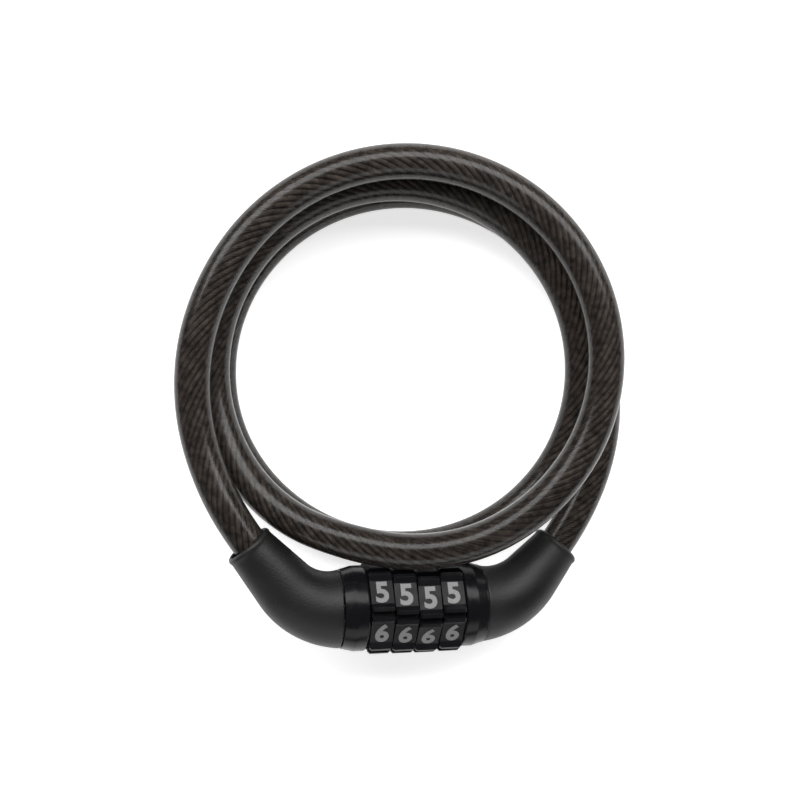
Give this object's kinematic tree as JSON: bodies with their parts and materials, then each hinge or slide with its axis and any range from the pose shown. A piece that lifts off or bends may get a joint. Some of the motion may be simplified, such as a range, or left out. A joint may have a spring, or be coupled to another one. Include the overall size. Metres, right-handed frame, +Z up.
{
  "type": "combination cable lock",
  "caption": "Self-coiling cable lock: a smoke-clear sheathed steel rope whose plug slides out of a glossy head with number dials that turn, each end in a bent matt boot.",
  "frame": {"origin": "on the surface the lock lies on, under the middle of the head and its boots", "axes": "+Z up; +X along the head towards its fixed end; +Y towards the middle of the coil"},
  "size_m": [0.1533, 0.1713, 0.0403],
  "materials": {
    "clear_sheath": "glossy smoke-tinted clear vinyl",
    "rope_steel": "dull twisted steel wire",
    "boot_rubber": "matt, finely grained",
    "head_gloss": "glossy black",
    "core_metal": "plain die-cast",
    "bright_steel": "fine turned",
    "cast_zinc": "plain die-cast",
    "ferrule_metal": "plain drawn",
    "screw_steel": "blackened",
    "code_brass": "plain turned"
  },
  "bodies": {
    "lock_body": {"cable_sheath": "clear_sheath", "wire_rope": "rope_steel", "right_boot": "boot_rubber", "left_collar": "head_gloss", "right_collar": "head_gloss", "lock_core": "core_metal", "click_spring": "bright_steel", "right_elbow": "cast_zinc", "right_ferrule": "ferrule_metal", "right_grub_screw": "screw_steel", "collar_screws": "screw_steel", "flange_screws": "screw_steel"},
    "plug": {"left_boot": "boot_rubber", "left_elbow": "cast_zinc", "locking_pin": "bright_steel", "left_ferrule": "ferrule_metal", "left_grub_screw": "screw_steel"},
    "dial_1": {"number_ring_1": "head_gloss", "code_ring_1": "code_brass"},
    "dial_2": {"number_ring_2": "head_gloss", "code_ring_2": "code_brass"},
    "dial_3": {"number_ring_3": "head_gloss", "code_ring_3": "code_brass"},
    "dial_4": {"number_ring_4": "head_gloss", "code_ring_4": "code_brass"}
  },
  "joints": [
    {"name": "plug_slide", "type": "slide", "parent": "lock_body", "child": "plug", "axis": [-0.9744, 0, 0.225], "range_m": [0, 0.042], "deforming": ["cable_sheath", "wire_rope"]},
    {"name": "dial_1_turn", "type": "hinge", "parent": "lock_body", "child": "dial_1", "pos_m": [0.00102, -0.00635, 0.01994], "axis": [0.9744, 0, -0.225], "continuous": true},
    {"name": "dial_2_turn", "type": "hinge", "parent": "lock_body", "child": "dial_2", "pos_m": [0.00102, -0.00635, 0.01994], "axis": [0.9744, 0, -0.225], "continuous": true},
    {"name": "dial_3_turn", "type": "hinge", "parent": "lock_body", "child": "dial_3", "pos_m": [0.00102, -0.00635, 0.01994], "axis": [0.9744, 0, -0.225], "continuous": true},
    {"name": "dial_4_turn", "type": "hinge", "parent": "lock_body", "child": "dial_4", "pos_m": [0.00102, -0.00635, 0.01994], "axis": [0.9744, 0, -0.225], "continuous": true}
  ]
}
